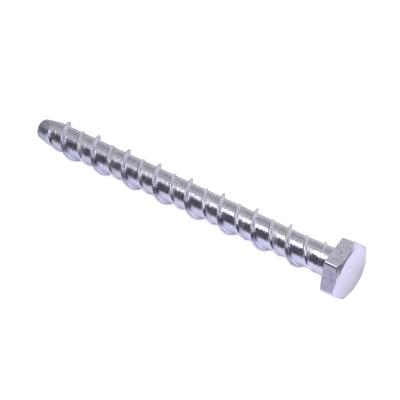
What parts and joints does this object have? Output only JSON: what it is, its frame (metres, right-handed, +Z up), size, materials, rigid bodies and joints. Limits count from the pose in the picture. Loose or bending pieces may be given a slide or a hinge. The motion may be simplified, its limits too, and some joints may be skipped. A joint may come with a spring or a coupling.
{
  "type": "anchor bolt",
  "caption": "Hex-head screw anchor for concrete: a plain hexagonal head on a long shank with a coarse right-hand thread, a low ridge between its turns and a blunt tapered tip.",
  "frame": {"origin": "on the surface that the anchor lies on, below the middle of its box", "axes": "+X from the tip to the head along the anchor's length, +Z up; the shank rises 1.6 degrees towards the head because it lies on one flat of the head and on the thread"},
  "size_m": [0.1048, 0.0168, 0.0148],
  "materials": {
    "zinc_plated_steel": "bright zinc plating over forged and rolled steel, satin on the head's faces"
  },
  "bodies": {
    "root": {"anchor_bolt": "zinc_plated_steel"}
  },
  "joints": []
}
